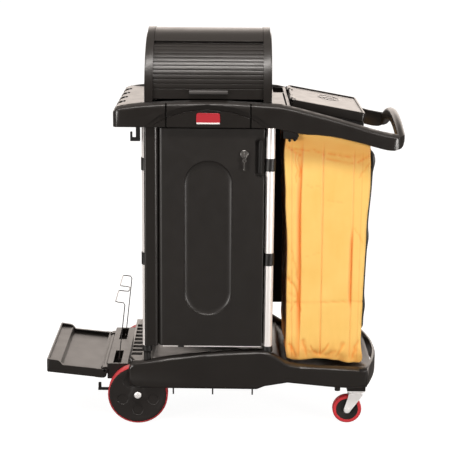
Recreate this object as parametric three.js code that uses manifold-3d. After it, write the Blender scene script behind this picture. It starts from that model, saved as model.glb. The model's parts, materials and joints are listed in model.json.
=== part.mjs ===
// A housekeeping cart: a moulded base on two large wheels and two swivel casters, four aluminium posts,
// a locking cabinet, a moulded deck with push handle, a roll-top hood, a lidded waste bag and a
// fold-up end platform.
// Millimetres, +Z up. +X points to the push handle, -X to the platform, and -Y is the door side.
// The origin is on the floor, at the middle of the overall length and width.
import * as THREE from "three";
import { mergeVertices, toCreasedNormals } from "three/addons/utils/BufferGeometryUtils.js";
import Module from "manifold-3d";

const wasm = await Module();
wasm.setup();

// ---------------------------------------------------------------- driving dimensions
const halfLength = 610; // platform end to handle end is 1220
const halfWidth = 276; // outer faces of the deck and the arms
const gap = 0.4; // kept between pieces that touch

const wheel = { x: -289, y: 236, radius: 104.8, width: 42, treadDepth: 5 };
const axleRadius = 7;
const caster = { x: 473, y: 222, trail: 29, radius: 50.8, width: 28, treadDepth: 12 };

const base = { left: -323, right: 509, nose: 48, halfWidth: 266, skirt: 40, wall: 5, floor: 225, tray: 199 };
const baseEdge = { bevel: 12, crest: 15.6 };
const vent = { left: -316, right: -278, pitch: 41, length: 29, depth: 18, count: 9 };

const post = { radius: 15.75, left: -256, right: 161, y: 235, bottom: 283, top: 1084 };
const clip = { radius: 18.5, height: 43, levels: [573, 901] };

const cabinet = { bottom: 287, top: 1049, front: -258, thick: 24 };
const doorLeft = -213.5;
const doorRight = 141;
const doorHinge = { x: doorLeft + cabinet.thick / 2, y: cabinet.front + cabinet.thick / 2 };
const lock = { x: 73, z: 961, radius: 13.5 };
const pull = { left: 108, bottom: 883, top: 1016, depth: 12 };
const doorDent = { left: -129, right: 35, bottom: 397, top: 938, depth: 9, slope: 17 };
const wall = { half: 218, thick: 6, top: 1083 };
const hingeColumn = { left: -264, right: -216, leftCorner: 8, rightCorner: 14 };

const deck = { left: -366, right: 225, bottom: 1050.5, slab: 1085, top: 1122, railInner: 240, crest: 22 };
const fascia = { left: -186, right: 90, depth: 14, seam: 6 };
const groove = { depth: 11, bowl: 2300 }; // deepest in the middle, it runs out to nothing at both tails
const grip = { thick: 27, tall: 46, crown: 1055, rise: 44, reach: 240, end: 262 };
const handleCorner = 45; // rounds the arm ends into the grip, seen from above

const hood = { left: -259, right: 159, axisZ: 1120, radius: 240, cap: 24, capInner: 231.5 };
const hoodCheek = { radius: 222, thick: 5 };
const shell = { outer: 238, inner: 233, frontAngle: 58.9 };
const curtain = { outer: 230, inner: 224.5, firstAngle: 5.3, barAngle: 13.9, slatAngle: 4, slats: 13 };

const lidHinge = { x: 234, z: 1131, slope: 10.2 };
const lid = { left: -3, length: 250, halfWidth: 192, top: 6, bottom: -26 }; // measured from its hinge
const lidRim = { width: 8, height: 4 };
const bag = { halfDepth: 228, wall: 4, bottom: 217, hem: 8, rimSlope: 9.1 };

const platform = { pivotX: -408, pivotZ: 178, tilt: 6, length: 205, halfWidth: 215, depth: 27 };
const hingeBlock = { left: -399, right: -323.5, halfWidth: 208, bottom: 147, top: 203 };
const wire = { pivotX: -362, pivotZ: 186, lean: 6.3, legY: 175, height: 230, radius: 2, reach: 34 };

// ---------------------------------------------------------------- materials
const paint = (color, roughness, metalness = 0) =>
  new THREE.MeshStandardMaterial({ color, roughness, metalness });
const black = () => paint(0x2b2a28, 0.55);
const satinBlack = () => paint(0x34322f, 0.45);
const aluminium = () => paint(0xdcd8d4, 0.35, 0.9);
const steel = () => paint(0xc4c4c6, 0.25, 1);
const red = () => paint(0xc23a40, 0.6);
const vinyl = () => paint(0xf2b04e, 0.5);

// ---------------------------------------------------------------- solids
const radians = THREE.MathUtils.degToRad;

function solid(geometry) {
  const plain = geometry.index ? geometry.toNonIndexed() : geometry.clone();
  plain.deleteAttribute("normal");
  plain.deleteAttribute("uv");
  const merged = mergeVertices(plain, 1e-4);
  const mesh = new wasm.Mesh({
    numProp: 3,
    vertProperties: merged.attributes.position.array,
    triVerts: new Uint32Array(merged.index.array),
  });
  return new wasm.Manifold(mesh);
}

function geometryOf(body) {
  const mesh = body.getMesh();
  const geometry = new THREE.BufferGeometry();
  geometry.setAttribute("position", new THREE.BufferAttribute(mesh.vertProperties, 3));
  geometry.setIndex(new THREE.BufferAttribute(mesh.triVerts, 1));
  return toCreasedNormals(geometry, radians(35));
}

const union = (first, ...others) => others.reduce((sum, other) => sum.add(other), first);
const without = (first, ...others) => others.reduce((rest, other) => rest.subtract(other), first);

// A box given by its two opposite corners.
function block(x0, x1, y0, y1, z0, z1) {
  const geometry = new THREE.BoxGeometry(x1 - x0, y1 - y0, z1 - z0);
  return solid(geometry.translate((x0 + x1) / 2, (y0 + y1) / 2, (z0 + z1) / 2));
}

const axisTurn = {
  x: new THREE.Matrix4().makeRotationZ(-Math.PI / 2),
  y: new THREE.Matrix4(),
  z: new THREE.Matrix4().makeRotationX(Math.PI / 2),
};

// A cylinder along "x", "y" or "z", centred on the given point.
function rod(axis, radius, length, [x, y, z], sides = 24) {
  const geometry = new THREE.CylinderGeometry(radius, radius, length, sides);
  return solid(geometry.applyMatrix4(axisTurn[axis]).translate(x, y, z));
}

// A lathe whose profile points are [radius, distance along the axis], turned about "x", "y" or "z".
function turned(axis, profile, [x, y, z], sides = 40) {
  const points = profile.map(([radius, along]) => new THREE.Vector2(radius, along));
  const geometry = new THREE.LatheGeometry(points, sides);
  return solid(geometry.applyMatrix4(axisTurn[axis]).translate(x, y, z));
}

const outline = (points) => new THREE.Shape(points.map(([u, v]) => new THREE.Vector2(u, v)));

// Extrudes a shape by depth; bevel rounds its long edges without making it larger.
function extruded(shape, depth, bevel = 0, curveSegments = 3, bevelSegments = 2) {
  return new THREE.ExtrudeGeometry(shape, {
    depth: depth - 2 * bevel,
    bevelEnabled: bevel > 0,
    bevelSize: bevel,
    bevelThickness: bevel,
    bevelOffset: -bevel,
    bevelSegments,
    curveSegments,
  }).translate(0, 0, bevel);
}

// Plate seen from the door side: the shape's u, v are X, Z and it fills y0 to y1.
function sidePlate(shape, y0, y1, bevel = 0, curveSegments = 3, bevelSegments = 2) {
  const geometry = extruded(shape, y1 - y0, bevel, curveSegments, bevelSegments);
  return solid(geometry.rotateX(Math.PI / 2).translate(0, y1, 0));
}

// Plate seen from above: the shape's u, v are X, Y and it fills z0 to z1.
function planPlate(shape, z0, z1, bevel = 0, curveSegments = 3) {
  return solid(extruded(shape, z1 - z0, bevel, curveSegments).translate(0, 0, z0));
}

// Plate seen from the handle end: the shape's u, v are Y, Z and it fills x0 to x1.
const endBasis = new THREE.Matrix4().makeBasis(
  new THREE.Vector3(0, 1, 0),
  new THREE.Vector3(0, 0, 1),
  new THREE.Vector3(1, 0, 0),
);
function endPlate(shape, x0, x1, bevel = 0, curveSegments = 3) {
  const geometry = extruded(shape, x1 - x0, bevel, curveSegments);
  return solid(geometry.applyMatrix4(endBasis).translate(x0, 0, 0));
}

function roundedRectangle(u0, u1, v0, v1, radius) {
  const shape = new THREE.Shape();
  shape.moveTo(u0 + radius, v0);
  shape.lineTo(u1 - radius, v0);
  shape.absarc(u1 - radius, v0 + radius, radius, -Math.PI / 2, 0);
  shape.lineTo(u1, v1 - radius);
  shape.absarc(u1 - radius, v1 - radius, radius, 0, Math.PI / 2);
  shape.lineTo(u0 + radius, v1);
  shape.absarc(u0 + radius, v1 - radius, radius, Math.PI / 2, Math.PI);
  shape.lineTo(u0, v0 + radius);
  shape.absarc(u0 + radius, v0 + radius, radius, Math.PI, Math.PI * 1.5);
  return shape;
}

const mirrorY = (body) => body.mirror([0, 1, 0]);
const between = (a, b) => [Math.min(a, b), Math.max(a, b)];

// A crest is rounded over by facets. Each starts at a distance in from the outer face and falls towards
// it with its own slope; both distances are shares of the crest's whole drop.
const crestFacets = [
  { reach: 1.45, slope: 0.28 },
  { reach: 1, slope: 0.6 },
  { reach: 0.68, slope: 1.1 },
  { reach: 0.41, slope: 2.4 },
];

// A side plate on the door side whose crest falls towards its outer face at outerY.
function crestedPlate(shape, outerY, innerY, bevel, bevelSegments, drop) {
  const overlap = 40;
  const plate = sidePlate(shape, outerY, innerY, bevel, 2, bevelSegments);
  return crestFacets.reduce((body, { reach, slope }) => {
    const start = outerY + reach * drop;
    const shear = new THREE.Matrix4().set(1, 0, 0, 0, 0, 1, 0, 0, 0, slope, 1, -slope * start, 0, 0, 0, 1);
    const wide = extruded(shape, innerY - outerY + 4, 0, 2);
    const upright = wide.rotateX(Math.PI / 2).translate(0, innerY + 2, 0);
    const leaning = solid(upright.applyMatrix4(shear));
    return body.intersect(union(leaning, leaning.translate([0, 0, -overlap])));
  }, plate);
}

// ---------------------------------------------------------------- assembly
const cart = new THREE.Group();
cart.name = "housekeeping_cart";

function add(name, body, material) {
  const mesh = new THREE.Mesh(geometryOf(body), material);
  mesh.name = name;
  cart.add(mesh);
}

const sides = [
  { name: "front", sign: -1, place: (body) => body },
  { name: "back", sign: 1, place: mirrorY },
];

const postPlaces = [
  { name: "front_left", x: post.left, y: -post.y },
  { name: "front_right", x: post.right, y: -post.y },
  { name: "back_left", x: post.left, y: post.y },
  { name: "back_right", x: post.right, y: post.y },
];

// ---------------------------------------------------------------- base
// The skirt's side outline: its crest rises along the cabinet and drops in an S to the bag tray.
function skirtOutline() {
  const shape = new THREE.Shape();
  shape.moveTo(base.left, 165);
  shape.lineTo(base.left, 204);
  shape.quadraticCurveTo(base.left, 222, base.left + 22, 226);
  shape.splineThru([
    new THREE.Vector2(-154, 249),
    new THREE.Vector2(-20, 263),
    new THREE.Vector2(110, 271),
    new THREE.Vector2(160, 269),
    new THREE.Vector2(211, 241),
    new THREE.Vector2(252, 222),
    new THREE.Vector2(377, 213),
    new THREE.Vector2(base.right, 209),
  ]);
  shape.lineTo(base.right, 141);
  shape.lineTo(450, 136);
  shape.lineTo(391, 139);
  shape.lineTo(232, 154);
  shape.lineTo(152, 140);
  shape.lineTo(126, 129);
  shape.lineTo(-190, 130);
  shape.lineTo(base.left + 34, 131);
  shape.quadraticCurveTo(base.left, 131, base.left, 165);
  return shape;
}

// The base seen from above, with its handle end bowed outwards by base.nose.
function basePlan(inset) {
  const half = base.halfWidth - inset;
  const shape = new THREE.Shape();
  shape.moveTo(base.left + inset, -half);
  shape.lineTo(base.right - inset, -half);
  shape.quadraticCurveTo(base.right + 2 * base.nose - inset, 0, base.right - inset, half);
  shape.lineTo(base.left + inset, half);
  return shape;
}

function makeBase() {
  const half = base.halfWidth;
  const skirt = crestedPlate(skirtOutline(), -half, -half + base.skirt, baseEdge.bevel, 3, baseEdge.crest);
  const floor = block(base.left, 205, -half + 20, half - 20, 150, base.floor);
  const step = sidePlate(
    outline([[150, 150], [530, 150], [530, base.tray], [232, base.tray], [200, base.floor]]),
    -half + 20,
    half - 20,
  ).intersect(planPlate(basePlan(8), 140, 230, 0, 12));
  const rim = planPlate(basePlan(0), 141, 214, baseEdge.bevel, 12)
    .subtract(planPlate(basePlan(10), 100, 230, 0, 12))
    .intersect(block(480, 600, -half - 1, half + 1, 100, 300));
  const body = union(skirt, mirrorY(skirt), floor, step, rim);

  const hollow = planPlate(basePlan(base.wall), 0, 196, 0, 12);
  const hollowRight = block(150, 600, -half, half, 0, 182);
  const lower = hollow.intersect(union(block(-400, 190, -300, 300, 0, 300), hollowRight));
  const shellBody = body.subtract(lower);

  const well = block(wheel.x - 112, wheel.x + 112, -half + base.wall, -204, 0, base.floor - 11);
  const wells = union(well, mirrorY(well));
  const pad = union(block(441, 505, -252, -192, 124, 190), rod("z", 10, 70, [408, -240, 158], 16));
  const axleWeb = block(wheel.x - 16, wheel.x + 16, -200, -192, 80, 200).subtract(
    rod("y", axleRadius + gap, 20, [wheel.x, -196, wheel.radius]),
  );
  const pegs = [-165, -28, 110].map((x) => block(x - 2.5, x + 2.5, -256, -250, 109, 140));
  const ribs = pegs.map((peg) => union(peg, peg.translate([0, -6, 10])));
  const webs = union(
    block(-170, -166, -255, 255, 135, 200),
    block(-30, -26, -255, 255, 135, 200),
    block(108, 112, -255, 255, 145, 200),
  );
  const fittings = union(pad, axleWeb, ...ribs);
  const vents = Array.from({ length: vent.count }, (_, i) => {
    const y = vent.pitch * (i - (vent.count - 1) / 2);
    const half = vent.length / 2;
    return block(vent.left, vent.right, y - half, y + half, base.floor - vent.depth, base.floor + 5);
  });
  const collarRoom = postPlaces.map(({ x, y }) => rod("z", 19, 80, [x, y, base.floor + 40], 16));
  const whole = union(shellBody.subtract(wells), fittings, mirrorY(fittings), webs);
  return without(whole, ...collarRoom, ...vents);
}
add("base", makeBase(), satinBlack());

// ---------------------------------------------------------------- large wheels
add(
  "rear_axle",
  union(
    rod("y", axleRadius, 2 * (wheel.y + wheel.width / 2) + 4, [wheel.x, 0, wheel.radius], 16),
    ...sides.map(({ sign }) =>
      turned("y", [[0, 0], [12.5, 0], [12.5, 3], [9, 6], [0, 6.6]], [0, 0, 0], 20)
        .rotate([sign < 0 ? 180 : 0, 0, 0])
        .translate([wheel.x, sign * (wheel.y + wheel.width / 2 + 1.2), wheel.radius]),
    ),
  ),
  steel(),
);

function wheelHub(side) {
  const half = wheel.width / 2;
  const rim = wheel.radius - wheel.treadDepth - gap;
  const bore = axleRadius + 0.5;
  const profile = [
    [bore, -half], [26, -half], [30, -half + 9], [80, -half + 9], [rim, -half + 2], [rim, half - 2],
    [89, half - 1], [84, half - 3.5], [32, half - 3.5], [26, half], [bore, half], [bore, -half],
  ];
  const disc = turned("y", profile, [0, 0, 0], 32);
  const pockets = [0, 1, 2, 3, 4].map((i) => {
    const angle = radians(72 * i + 18);
    return rod("y", 19, 5, [56 * Math.cos(angle), half - 3.5, 56 * Math.sin(angle)], 14);
  });
  const outward = without(disc, ...pockets);
  const turnedOut = side.sign < 0 ? outward.rotate([180, 0, 0]) : outward;
  return turnedOut.translate([wheel.x, side.sign * wheel.y, wheel.radius]);
}

function tyre(radius, depth, width, sideCount) {
  const half = width / 2;
  const inner = radius - depth;
  const profile = [
    [inner, -half], [radius - 3, -half], [radius, -half + 5], [radius, half - 5], [radius - 3, half],
    [inner, half], [inner, -half],
  ];
  return turned("y", profile, [0, 0, 0], sideCount);
}

for (const side of sides) {
  const y = side.sign * wheel.y;
  add(`wheel_hub_${side.name}`, wheelHub(side), satinBlack());
  const tread = tyre(wheel.radius, wheel.treadDepth, wheel.width, 40);
  add(`wheel_tyre_${side.name}`, tread.translate([wheel.x, y, wheel.radius]), red());
}

// ---------------------------------------------------------------- swivel casters
function casterFork(y) {
  const axleX = caster.x - caster.trail;
  const leg = new THREE.Shape();
  leg.absarc(axleX, caster.radius, 12, Math.PI * 0.86, Math.PI * 1.86);
  leg.lineTo(caster.x + 23, 104);
  leg.lineTo(caster.x + 23, 109);
  leg.lineTo(caster.x - 26, 109);
  leg.lineTo(caster.x - 26, 100);
  const plates = [-1, 1].map((sign) => sidePlate(leg, y + sign * 19 - 1.75, y + sign * 19 + 1.75, 0, 5));
  return union(
    ...plates,
    block(caster.x - 26, caster.x + 23, y - 20.75, y + 20.75, 104.6, 109),
    rod("z", 23, 10, [caster.x, y, 113], 20),
    rod("y", 5, 48, [axleX, y, caster.radius], 12),
    rod("y", 8.5, 4, [axleX, y - 22.5, caster.radius], 6),
    rod("y", 8.5, 4, [axleX, y + 22.5, caster.radius], 6),
  );
}

function casterHub(x, y) {
  const rim = caster.radius - caster.treadDepth - gap;
  const profile = [
    [5.5, -16], [12, -16], [14, -9], [rim, -13], [rim, 13], [14, 9], [12, 16], [5.5, 16], [5.5, -16],
  ];
  return turned("y", profile, [x, y, caster.radius], 20);
}

for (const side of sides) {
  const y = side.sign * caster.y;
  const axleX = caster.x - caster.trail;
  const plate = planPlate(roundedRectangle(443, 503, y - 30, y + 30, 7), 118.4, 123.6);
  add(`caster_plate_${side.name}`, plate, steel());
  add(`caster_fork_${side.name}`, casterFork(y), steel());
  add(`caster_hub_${side.name}`, casterHub(axleX, y), satinBlack());
  const tread = tyre(caster.radius, caster.treadDepth, caster.width, 28);
  add(`caster_tyre_${side.name}`, tread.translate([axleX, y, caster.radius]), red());
}

// ---------------------------------------------------------------- posts, collars and clips
for (const { name, x, y } of postPlaces) {
  const length = post.top - post.bottom;
  add(`post_${name}`, rod("z", post.radius, length, [x, y, post.bottom + length / 2], 16), aluminium());
  const foot = base.floor + gap;
  const top = post.bottom - gap;
  const collar = [[0, foot], [12.5, foot], [12.5, 258], [18, 263], [18, top], [0, top]];
  add(`post_collar_${name}`, turned("z", collar, [x, y, 0], 16), black());
  clip.levels.forEach((level, i) => {
    const outer = rod("z", clip.radius, clip.height, [x, y, level + clip.height / 2], 16);
    const tab = block(x - 7, x + 7, ...between(y, y - Math.sign(y) * 24), level + 8, level + 35);
    const bore = rod("z", post.radius + gap, 100, [x, y, level + 20], 16);
    const wallSlot = block(x - 3.5, x + 3.5, -218.5, 218.5, level - 5, level + 50);
    add(`clip_${name}_${i ? "upper" : "lower"}`, without(union(outer, tab), bore, wallSlot), black());
  });
}

// ---------------------------------------------------------------- cabinet
const sideWall = (x) =>
  block(x - wall.thick / 2, x + wall.thick / 2, -wall.half, wall.half, cabinet.bottom, wall.top);
const doorStop = block(129, post.right, -wall.half + 8, -wall.half + 14, 296, 1046);
add("side_wall_left", sideWall(post.left), black());
add("side_wall_right", union(sideWall(post.right), doorStop), black());
add("back_panel", block(-236, 141.5, 240, 246, cabinet.bottom, cabinet.top), black());
add("cabinet_floor", block(-252, 157, -221.5, 239, cabinet.bottom, 293).subtract(
  union(...postPlaces.map(({ x, y }) => rod("z", clip.radius + 1, 40, [x, y, 290], 16))),
), black());

function makeHingeColumn() {
  const { left, right, leftCorner, rightCorner } = hingeColumn;
  const back = -222;
  const shape = new THREE.Shape();
  shape.moveTo(left, back);
  shape.lineTo(left, cabinet.front + leftCorner);
  shape.absarc(left + leftCorner, cabinet.front + leftCorner, leftCorner, Math.PI, Math.PI * 1.5);
  shape.lineTo(right - rightCorner, cabinet.front);
  shape.absarc(right - rightCorner, cabinet.front + rightCorner, rightCorner, Math.PI * 1.5, Math.PI * 2);
  shape.lineTo(right, back);
  const stop = block(-232, doorHinge.x + 6, -232.6, -226, 286, cabinet.top);
  const body = union(planPlate(shape, 286, cabinet.top), stop);
  const postCut = rod("z", post.radius + 0.5, 900, [post.left, -post.y, 700], 16);
  const clipCuts = clip.levels.map((level) =>
    rod("z", clip.radius + 0.6, clip.height + 2, [post.left, -post.y, level + clip.height / 2], 16),
  );
  return without(body, postCut, ...clipCuts);
}
add("hinge_column", makeHingeColumn(), satinBlack());

// The door's long shallow recess: a floor with wide rounded slopes up to the door's face.
function doorRecess() {
  const { left, right, bottom, top, depth, slope } = doorDent;
  const stadium = roundedRectangle(left, right, bottom, top, (right - left) / 2 - 1);
  const geometry = new THREE.ExtrudeGeometry(stadium, {
    depth: 12,
    bevelSize: slope,
    bevelThickness: depth,
    bevelOffset: -slope,
    bevelSegments: 4,
    curveSegments: 7,
  });
  return solid(geometry.rotateX(Math.PI / 2).translate(0, cabinet.front, 0));
}

function makeDoor() {
  const plan = new THREE.Shape();
  const half = cabinet.thick / 2;
  plan.moveTo(doorHinge.x, cabinet.front);
  plan.lineTo(doorRight - 4, cabinet.front);
  plan.quadraticCurveTo(doorRight, cabinet.front, doorRight, cabinet.front + 4);
  plan.lineTo(doorRight, cabinet.front + cabinet.thick);
  plan.lineTo(doorHinge.x, cabinet.front + cabinet.thick);
  plan.absarc(doorHinge.x, doorHinge.y, half, Math.PI / 2, Math.PI * 1.5);
  const panel = planPlate(plan, 288, 1046, 0, 4);
  const recess = doorRecess();
  const fingerRoom = sidePlate(
    roundedRectangle(pull.left, doorRight + 40, pull.bottom, pull.top, 16),
    cabinet.front - 5,
    cabinet.front + pull.depth,
  );
  const hollow = block(-180, 125, cabinet.front + 14, 0, 300, 870);
  const cylinderHole = rod("y", lock.radius - 3 + gap, 60, [lock.x, cabinet.front, lock.z]);
  return without(panel, recess, fingerRoom, hollow, cylinderHole);
}
add("door", makeDoor(), satinBlack());
const pullFace = roundedRectangle(pull.left + 13, pull.left + 25, pull.bottom + 10, pull.top - 10, 5.8);
add("door_pull", sidePlate(pullFace, cabinet.front + 1, cabinet.front + pull.depth - gap, 2, 2), black());

const keywayY = [cabinet.front - 8, cabinet.front + 22];
const keyway = block(lock.x - 1.4, lock.x + 1.4, ...keywayY, lock.z - 5, lock.z + 5);
add(
  "door_lock",
  union(
    rod("y", lock.radius, 2.4, [lock.x, cabinet.front - gap - 1.2, lock.z], 24),
    rod("y", lock.radius - 3, 30, [lock.x, cabinet.front + 13, lock.z], 20),
  ).subtract(keyway),
  steel(),
);

// The key's blade lies in the lock's slot; its bow has a hole for the ring that holds a spare key.
const keyFace = cabinet.front - gap - 2.4 - gap;
const ring = { radius: 7, wire: 0.9, y: keyFace - 9 };
add(
  "key",
  union(
    block(-1, 1, -3, 20, -4, 4),
    block(-1, 1, -14, 0, -8, 8).subtract(rod("x", 2.6, 6, [0, -9, 0], 12)),
  ).translate([lock.x, keyFace, lock.z]),
  steel(),
);
const spareKey = union(
  rod("y", 7.5, 1.8, [0, 0, -20], 18).subtract(rod("y", 2.5, 6, [0, 0, -21], 12)),
  block(-2.5, 2.5, -0.9, 0.9, -54, -26),
);
const loop = new THREE.TorusGeometry(ring.radius, ring.wire, 6, 16).rotateX(Math.PI / 2);
const ringAndKey = union(solid(loop.translate(0, 0, -ring.radius)), spareKey);
add("key_ring", ringAndKey.translate([lock.x, ring.y, lock.z]), steel());

// ---------------------------------------------------------------- deck, arms and grip
// The side outline of a rail, from the platform end through the arm to the handle end.
function railOutline() {
  const shape = new THREE.Shape();
  shape.moveTo(deck.left, deck.bottom);
  shape.lineTo(deck.left, 1100);
  shape.quadraticCurveTo(deck.left + 3, 1119, deck.left + 26, 1122);
  shape.splineThru([
    new THREE.Vector2(-258, 1132),
    new THREE.Vector2(-52, 1141),
    new THREE.Vector2(160, 1132),
    new THREE.Vector2(217, 1125),
    new THREE.Vector2(311, 1102),
    new THREE.Vector2(410, 1076),
    new THREE.Vector2(523, 1043),
    new THREE.Vector2(halfLength - 8, 1029),
  ]);
  shape.quadraticCurveTo(halfLength, 1024, halfLength - 1, 1008);
  shape.quadraticCurveTo(halfLength - 6, 980, 573, 978.5);
  shape.splineThru([
    new THREE.Vector2(545, 981),
    new THREE.Vector2(494, 994),
    new THREE.Vector2(429, 1011),
    new THREE.Vector2(344, 1027),
    new THREE.Vector2(259, 1032),
    new THREE.Vector2(177, deck.bottom),
  ]);
  return shape;
}

// The crescent groove that frames the badge on the fascia.
function crescent() {
  const shape = new THREE.Shape();
  shape.moveTo(-268, 1049);
  shape.quadraticCurveTo(-190, 1128, -50, 1129);
  shape.quadraticCurveTo(90, 1128, 171, 1049);
  shape.lineTo(150, 1049);
  shape.quadraticCurveTo(70, 1109, -50, 1111);
  shape.quadraticCurveTo(-165, 1109, -245, 1049);
  return shape;
}

function grooveCut() {
  const { depth, bowl } = groove;
  const round = rod("z", bowl, 200, [-49, -halfWidth + depth - bowl, 1080], 288);
  return sidePlate(crescent(), -halfWidth - 5, -halfWidth + depth + 1).intersect(round);
}

// The handle end seen from the side: its lower corner turns up in the curve of the rails' ends.
function handleEnd() {
  const shape = new THREE.Shape();
  shape.moveTo(540, 978.5);
  shape.lineTo(573, 978.5);
  shape.quadraticCurveTo(halfLength - 6, 980, halfLength - 1, 1008);
  shape.quadraticCurveTo(halfLength, 1024, halfLength + 1, 1040);
  shape.lineTo(halfLength + 1, 1100);
  shape.lineTo(540, 1100);
  return sidePlate(shape, -300, 300);
}

// The grip is a rounded bar that arches up between the arm ends.
function gripBar() {
  const section = roundedRectangle(-grip.thick / 2, grip.thick / 2, -grip.tall / 2, grip.tall / 2, 12);
  const points = [];
  for (let i = -6; i <= 6; i += 1) {
    const y = (grip.end * i) / 6;
    points.push(new THREE.Vector3(0, y, grip.crown - grip.rise * (y / grip.reach) ** 2));
  }
  const path = new THREE.CatmullRomCurve3(points);
  const geometry = new THREE.ExtrudeGeometry(section, { extrudePath: path, steps: 28, curveSegments: 2 });
  return solid(geometry).translate([halfLength - grip.thick / 2, 0, 0]).intersect(handleEnd());
}

// The deck's slab and its end wall seen from the side; the wall's top edge rolls over outwards.
function slabOutline() {
  const shape = new THREE.Shape();
  shape.moveTo(deck.left, deck.bottom);
  shape.lineTo(deck.left, deck.top - 26);
  shape.quadraticCurveTo(deck.left + 3, deck.top - 3, deck.left + 30, deck.top);
  shape.lineTo(deck.right, deck.top);
  shape.lineTo(deck.right, deck.slab);
  shape.lineTo(deck.left + 12, deck.slab);
  shape.lineTo(deck.left + 12, deck.bottom);
  return shape;
}

const makeRail = () => crestedPlate(railOutline(), -halfWidth, -deck.railInner, 7, 2, deck.crest);

function makeDeck() {
  const rail = makeRail();
  const slab = sidePlate(slabOutline(), -250, 250);
  const rightWall = block(deck.right - 12, deck.right, -250, 250, deck.bottom, deck.top);
  const plan = planPlate(roundedRectangle(deck.left, 900, -halfWidth, halfWidth, 26), 900, 1200, 0, 3);
  const handlePlan = roundedRectangle(-900, halfLength, -halfWidth, halfWidth, handleCorner);
  const wholePlan = plan.intersect(planPlate(handlePlan, 900, 1200, 0, 5));
  const notches = [-156, -52, 52, 156].map((y) =>
    planPlate(roundedRectangle(deck.left - 60, deck.left + 36, y - 26, y + 26, 18), 1000, 1200, 0, 3),
  );
  const hoodMiddle = [(hood.left + hood.right) / 2, 0, hood.axisZ];
  const hoodRoom = rod("x", hood.radius + 2, hood.right - hood.left + 4, hoodMiddle, 64).intersect(
    block(-900, 900, -400, 400, deck.top, 1500),
  );
  const box = planPlate(roundedRectangle(-225, 130, -195, 195, 20), 1094, 1200);
  const slot = block(209, 215, -232, 76, 1104, 1200);
  const pocket = planPlate(roundedRectangle(177, 215, 90, 230, 6), 1094, 1200);
  const bandCut = grooveCut();
  const seamed = [fascia.left - fascia.seam, fascia.right + fascia.seam];
  const fasciaRoom = block(...seamed, -halfWidth - 5, -halfWidth + fascia.depth, 1000, 1200);
  const postRoom = postPlaces.map(({ x, y }) =>
    rod("z", post.radius + gap, 60, [x, y, deck.slab - 30.6], 28),
  );
  const body = union(rail, mirrorY(rail), slab, rightWall, gripBar());
  const cuts = [hoodRoom, box, slot, pocket, bandCut, mirrorY(bandCut), fasciaRoom, ...notches, ...postRoom];
  return without(body.intersect(wholePlan), ...cuts);
}
add("deck", makeDeck(), satinBlack());

const fasciaPanel = makeRail()
  .intersect(block(fascia.left, fascia.right, -halfWidth - 5, -halfWidth + fascia.depth - gap, 1000, 1200))
  .subtract(grooveCut())
  .subtract(sidePlate(roundedRectangle(-90, -7, 1062, 1103, 9), -halfWidth - 5, -halfWidth + 3));
add("fascia", fasciaPanel, satinBlack());
const badgeFace = roundedRectangle(-88, -9, 1064, 1101, 8);
add("badge", sidePlate(badgeFace, -halfWidth, -halfWidth + 2.6, 0.8, 2), red());

const hookOutline = outline([
  [-276, 1050], [-290, 1050], [-290, 1013], [-302, 1013],
  [-302, 1032], [-309, 1032], [-309, 1001], [-276, 1001],
]);
add("deck_hook", sidePlate(hookOutline, -253, -239), black());

// ---------------------------------------------------------------- hood
// An arc band about the hood's axis, angles measured up from the door side.
function arcBand(outer, inner, fromAngle, toAngle) {
  const shape = new THREE.Shape();
  const start = Math.PI - radians(fromAngle);
  const end = Math.PI - radians(toAngle);
  shape.absarc(0, hood.axisZ, outer, start, end, true);
  shape.absarc(0, hood.axisZ, inner, end, start, false);
  return shape;
}
function halfDisc(radius) {
  const shape = new THREE.Shape();
  shape.absarc(0, hood.axisZ, radius, 0, Math.PI);
  return shape;
}

// Each cap is a rim over the curtain's ends, a wall across them and a smaller cheek outside it.
const aboveDeck = block(-900, 900, -400, 400, deck.top + gap, 1500);
for (const [name, outerX, inward] of [
  ["hood_cap_left", hood.left, 1],
  ["hood_cap_right", hood.right, -1],
]) {
  const rim = endPlate(
    arcBand(hood.radius, hood.capInner, 0.6, 179.4), ...between(outerX, outerX + inward * hood.cap), 0, 15,
  );
  const wall = endPlate(halfDisc(hood.radius - 1), ...between(outerX, outerX + inward * 5), 0, 15);
  const cheekX = between(outerX - inward * hoodCheek.thick, outerX + inward);
  const cheek = endPlate(halfDisc(hoodCheek.radius), ...cheekX, 2, 15);
  add(name, union(rim, wall, cheek).intersect(aboveDeck), satinBlack());
}

const shellX = [hood.left + hood.cap + gap, hood.right - hood.cap - gap];
const shellBand = arcBand(shell.outer, shell.inner, shell.frontAngle, 179.4);
add("hood_shell", endPlate(shellBand, ...shellX, 0, 14).intersect(aboveDeck), satinBlack());

// The slatted curtain: a bottom bar and narrow slats with a groove between each pair.
function curtainOutline() {
  const points = [];
  const at = (radius, angle) => [
    -radius * Math.cos(radians(angle)),
    hood.axisZ + radius * Math.sin(radians(angle)),
  ];
  const { outer, inner, firstAngle, barAngle, slatAngle, slats } = curtain;
  const last = barAngle + slats * slatAngle;
  for (let angle = firstAngle; angle < barAngle; angle += 4) points.push(at(outer, angle));
  for (let i = 0; i < slats; i += 1) {
    const start = barAngle + i * slatAngle;
    points.push(at(outer - 2.6, start), at(outer - 0.4, start + 0.35));
    points.push(at(outer, start + slatAngle / 2), at(outer - 0.4, start + slatAngle - 0.25));
  }
  for (let angle = last; angle > firstAngle; angle -= slatAngle) points.push(at(inner, angle));
  points.push(at(inner, firstAngle));
  return outline(points.reverse());
}
add("curtain", endPlate(curtainOutline(), hood.left + 6.5, hood.right - 6.5), satinBlack());

const pullBar = endPlate(roundedRectangle(-15, 0, -6.5, 6.5, 5), -113, 16, 2, 2);
add(
  "curtain_pull",
  pullBar.translate([0, -curtain.outer - gap, 0]).rotate([-10.7, 0, 0]).translate([0, 0, hood.axisZ]),
  satinBlack(),
);

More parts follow.
